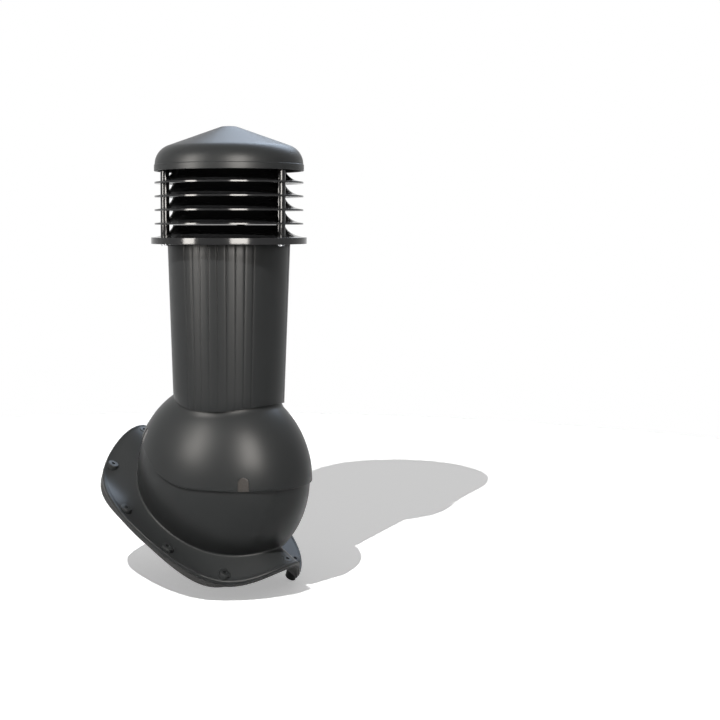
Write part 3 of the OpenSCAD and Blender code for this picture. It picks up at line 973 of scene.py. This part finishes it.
def cap_line(inset, band=0):
    """The cap's outline drawn in by inset, from the foot of its band to the middle."""
    centre_r, centre_z = cap_r - band_step - cap_shoulder, cap_low + cap_wall_h
    rho = cap_shoulder - inset
    turn = math.pi / 2 - cap_slope
    points = [(cap_r - band_step + band - inset, cap_low)]
    if band:
        points += [(cap_r, centre_z - 0.6 * MM), (cap_r - band_step, centre_z)]
    for k in range(17):
        angle = turn * k / 16
        points.append((centre_r + rho * math.cos(angle), centre_z + rho * math.sin(angle)))
    end_r, end_z = points[-1]
    tip_z = end_z + (end_r - cap_tip_r) * math.tan(cap_slope)
    for k in range(1, 7):
        r = end_r + (cap_tip_r + 4 * MM - end_r) * k / 6
        points.append((r, end_z + (end_r - r) * math.tan(cap_slope)))
    rise = tip_z - points[-1][1]
    points += [
        (cap_tip_r + 1.6 * MM, tip_z - rise * 0.42), (cap_tip_r - 0.6 * MM, tip_z - rise * 0.12),
        (cap_tip_r - 3.5 * MM, tip_z), (0, tip_z),
    ]
    return points


outer = cap_line(0, band_step)
inner = cap_line(cap_t)
corners = {0: round_edge, 1: moulded_edge, len(outer + inner) - 1: moulded_edge}
cap = turned("cap", softened(outer + inner[::-1], corners))
socket_core = turned("core", cap_line(cap_t / 2) + [(0, cap_low)])
sockets = joined(post_bars(socket_r, cap_low + socket_rise, cap_low + 2 * through), "sockets")
combine(sockets, socket_core, "INTERSECT")
combine(cap, sockets, "UNION")
post_holes(cap, cap_low - 5 * MM, post_top + 0.2 * MM)
smooth(cap)
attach(cap, "vent_head")
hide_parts("rain_cap")
dress(cap, satin_polypropylene)


# Gasket: a thick closed-cell EPDM foam ring glued under the plate, which seals on the tile.
# It is thickest in the tile's valleys, and its upper step lies inside the plate's rim.
gasket_t = 6 * MM
gasket_swell = 4.5 * MM
valley_half_w = 22 * MM
gasket_w = 20 * MM
gasket_edge = 0.8 * MM
gasket_gap = 0.3 * MM


def foam_low(x):
    share = max(0, 1 - ((abs(x) - valley_x) / valley_half_w) ** 2)
    return -plate_t - gasket_t - gasket_swell * share


def gasket_section(angle):
    """The foam's section: a stepped strip with soft edges under the plate."""
    inside = lip_w + gasket_gap
    first, last = gasket_edge, inside + gasket_w
    top = -plate_t - 0.02 * MM
    step = -lip_h - 0.12 * MM
    profile = [(inside, top), (inside, step), (first + 0.4 * MM, step), (first, step - 0.4 * MM)]
    for part in (0.35, 0.7):
        x = outline_at(first, angle)[0]
        profile.append((first, step + (foam_low(x) - step) * part))
    for inset, lift in ((0, 0.9), (0.25, 0.3), (0.9, 0)):
        x = outline_at(first + inset * MM, angle)[0]
        profile.append((first + inset * MM, foam_low(x) + lift * MM))
    for k in range(1, 8):
        inset = first + (last - first) * k / 8
        profile.append((inset, foam_low(outline_at(inset, angle)[0])))
    for inset, lift in ((0.9, 0), (0.25, 0.3), (0, 0.9)):
        x = outline_at(last - inset * MM, angle)[0]
        profile.append((last - inset * MM, foam_low(x) + lift * MM))
    profile += [(last, top)] + [(last - (last - inside) * k / 6, top) for k in range(1, 6)]
    points = []
    for inset, rise in profile:
        x, u = outline_at(inset, angle)
        points.append(Vector((x, u, wave(x) + rise)))
    return points


sections = [gasket_section(2 * math.pi * k / plate_columns) for k in range(plate_columns)]
gasket = skin("foam_gasket", list(zip(*sections)), on_roof)
combine(gasket, boss_parts(boss_r + gasket_gap, through), "DIFFERENCE")
smooth(gasket)

# EPDM foam: black, matt and full of fine open cells. Its colour is painted a shade darker at the
# bottoms of the cells' pits, as painted shade.
foam = bpy.data.materials.new("epdm_foam")
foam.use_nodes = True
tree = foam.node_tree
shader = tree.nodes["Principled BSDF"]
place = add(tree, "ShaderNodeTexCoord").outputs["Object"]
cell_size = 0.9 * MM
cells = add(tree, "ShaderNodeTexVoronoi", {"Scale": 1 / cell_size}, Vector=place)
# Painted shade: the cell pattern that sinks the pits also darkens the colour in them.
painted_pit_shade = add(tree, "ShaderNodeMix", {"data_type": "RGBA"})
painted_pit_shade.inputs[6].default_value = linear("#050505")
painted_pit_shade.inputs[7].default_value = linear("#101011")
tree.links.new(cells.outputs["Distance"], painted_pit_shade.inputs[0])
tree.links.new(painted_pit_shade.outputs[2], shader.inputs["Base Color"])
shader.inputs["Roughness"].default_value = 0.85
depth = {"Strength": 1.0, "Distance": 0.15 * MM}
pits = add(tree, "ShaderNodeBump", depth, Height=cells.outputs["Distance"])
tree.links.new(pits.outputs["Normal"], shader.inputs["Normal"])
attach(gasket, "roof_base")
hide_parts("roof_gasket")
dress(gasket, foam)


# Spigot, seals, tilt pins and hood screws: they keep the solids' own meshes. The spigot is
# moulded in the same satin plastic, and lies inside the ball with the seals and the pins.

# Rubber seals, moulded, matt with a faint bloom
rubber = surface_finish("moulded_rubber", ("#151515", "#1b1b1c"), (0.55, 0.7), 0.6, 0.01)

# Zinc-plated steel, dulled: the zinc's own grey as a metal
zinc = surface_finish("zinc_plated_steel", ("#77797c", "#838589"), (0.34, 0.46), 0.4, 0.002)
zinc.node_tree.nodes["Principled BSDF"].inputs["Metallic"].default_value = 1
for name, finish in (
    ("duct_spigot", satin_polypropylene), ("mouth_seal", rubber), ("pipe_seal", rubber),
    ("tilt_pin_left", zinc), ("tilt_pin_right", zinc),
    ("hood_screw_1", zinc), ("hood_screw_2", zinc), ("hood_screw_3", zinc),
):
    dress(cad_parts[name], finish)


# Stage: a round sheet of white paper under the vent, which keeps its shadow, in a white room.
# The paper lies half a millimetre under the lowest point.
floor_r = 1.6
floor_z = cad_low.z - 0.5 * MM
bpy.ops.object.select_all(action="DESELECT")
bpy.ops.mesh.primitive_circle_add(
    vertices=96, radius=floor_r, fill_type="NGON", location=(0, 0, floor_z)
)
floor = bpy.context.object
floor.name = "floor"


def background_rays(tree):
    """1 for the rays that show the background: the camera's, mirrored and refracted ones."""
    ray = add(tree, "ShaderNodeLightPath")
    shown = ray.outputs["Is Camera Ray"]
    for kind in ("Is Glossy Ray", "Is Transmission Ray"):
        either = add(tree, "ShaderNodeMath", {"operation": "MAXIMUM"})
        tree.links.new(shown, either.inputs[0])
        tree.links.new(ray.outputs[kind], either.inputs[1])
        shown = either.outputs[0]
    return shown


# White paper: the key light and a little glow make it white where no shadow falls, and it
# throws little light back up
paper = bpy.data.materials.new("white_paper")
paper.use_nodes = True
tree = paper.node_tree
shader = tree.nodes["Principled BSDF"]
shader.inputs["Roughness"].default_value = 0.9
shader.inputs["Specular IOR Level"].default_value = 0
shown = background_rays(tree)
tone = add(tree, "ShaderNodeMix", {"data_type": "RGBA"})
tone.inputs[6].default_value = linear("#b4b4b4")
tone.inputs[7].default_value = linear("#f8f8f8")
tree.links.new(shown, tone.inputs[0])
tree.links.new(tone.outputs[2], shader.inputs["Base Color"])
glow = add(tree, "ShaderNodeMath", {"operation": "MULTIPLY"})
tree.links.new(shown, glow.inputs[0])
glow.inputs[1].default_value = 0.35
shader.inputs["Emission Color"].default_value = (1, 1, 1, 1)
tree.links.new(glow.outputs[0], shader.inputs["Emission Strength"])
floor.data.materials.append(paper)

world = bpy.data.worlds.new("white_room")
bpy.context.scene.world = world
world.use_nodes = True
tree = world.node_tree
room_light = tree.nodes["Background"]
room_light.inputs["Color"].default_value = (1, 1, 1, 1)
room_light.inputs["Strength"].default_value = 0.26
white = add(tree, "ShaderNodeBackground", {"Color": (1, 1, 1, 1), "Strength": 1.0})
mixed = tree.nodes.new("ShaderNodeMixShader")
tree.links.new(background_rays(tree), mixed.inputs[0])
tree.links.new(room_light.outputs[0], mixed.inputs[1])
tree.links.new(white.outputs[0], mixed.inputs[2])
tree.links.new(mixed.outputs[0], tree.nodes["World Output"].inputs["Surface"])


lamp_aim = Vector((0, -0.015, 0.25))
key_place = (-0.988, -0.342, 1.146)


def direction(turn, lift):
    """The way to a lamp, turned from the camera's side round the vent and lifted."""
    azimuth = math.radians(turn - camera_turn)
    height = math.radians(lift)
    flat = math.cos(height)
    return Vector((math.sin(azimuth) * flat, -math.cos(azimuth) * flat, math.sin(height)))


def softbox(name, turn, lift, distance, size, radiance, colour="#ffffff", tilt=None):
    """A rectangular lamp that faces the vent, at a brightness per area where 1 is white."""
    away = direction(turn, lift)
    bpy.ops.object.select_all(action="DESELECT")
    bpy.ops.object.light_add(type="AREA", location=lamp_aim + away * distance)
    light = bpy.context.object
    light.name = name
    facing = away if tilt is None else direction(turn, tilt)
    light.rotation_euler = facing.to_track_quat("Z", "Y").to_euler()
    light.data.shape = "RECTANGLE"
    light.data.size, light.data.size_y = size
    light.data.energy = radiance * math.pi * size[0] * size[1]
    light.data.color = linear(colour)[:3]
    light.visible_camera = False
    return light


# Lamps: the key light stands in front of the vent on the left and casts the shadow. It doesn't
# fade with distance, so that floor and hood are lit alike. Two upright boxes near the vent draw
# its two columns of highlights, and two cool boxes behind it draw those on the cap and plate.
bpy.ops.object.select_all(action="DESELECT")
bpy.ops.object.light_add(type="POINT", location=key_place, radius=0.04)
key = bpy.context.object
key.name = "key_light"
key.data.energy = 46
key.data.use_nodes = True
lamp_tree = key.data.node_tree
reach = add(lamp_tree, "ShaderNodeLightFalloff", {"Strength": 1.0})
lamp_tree.links.new(reach.outputs["Constant"], lamp_tree.nodes["Emission"].inputs["Strength"])
key.visible_glossy = False
for box in (
    softbox("left_box", -57, 23.6, 0.873, (0.24, 0.7), 38, "#fffaf4", tilt=0),
    softbox("right_box", 14, 23.6, 0.873, (0.34, 0.7), 38, "#fffaf4", tilt=0),
    softbox("back_box", 174, 46, 3.0, (1.0, 1.3), 6, "#cfe0f6"),
    softbox("plate_box", 150, 42, 3.0, (1.4, 1.4), 8, "#cfe0f6"),
):
    box.visible_diffuse = False
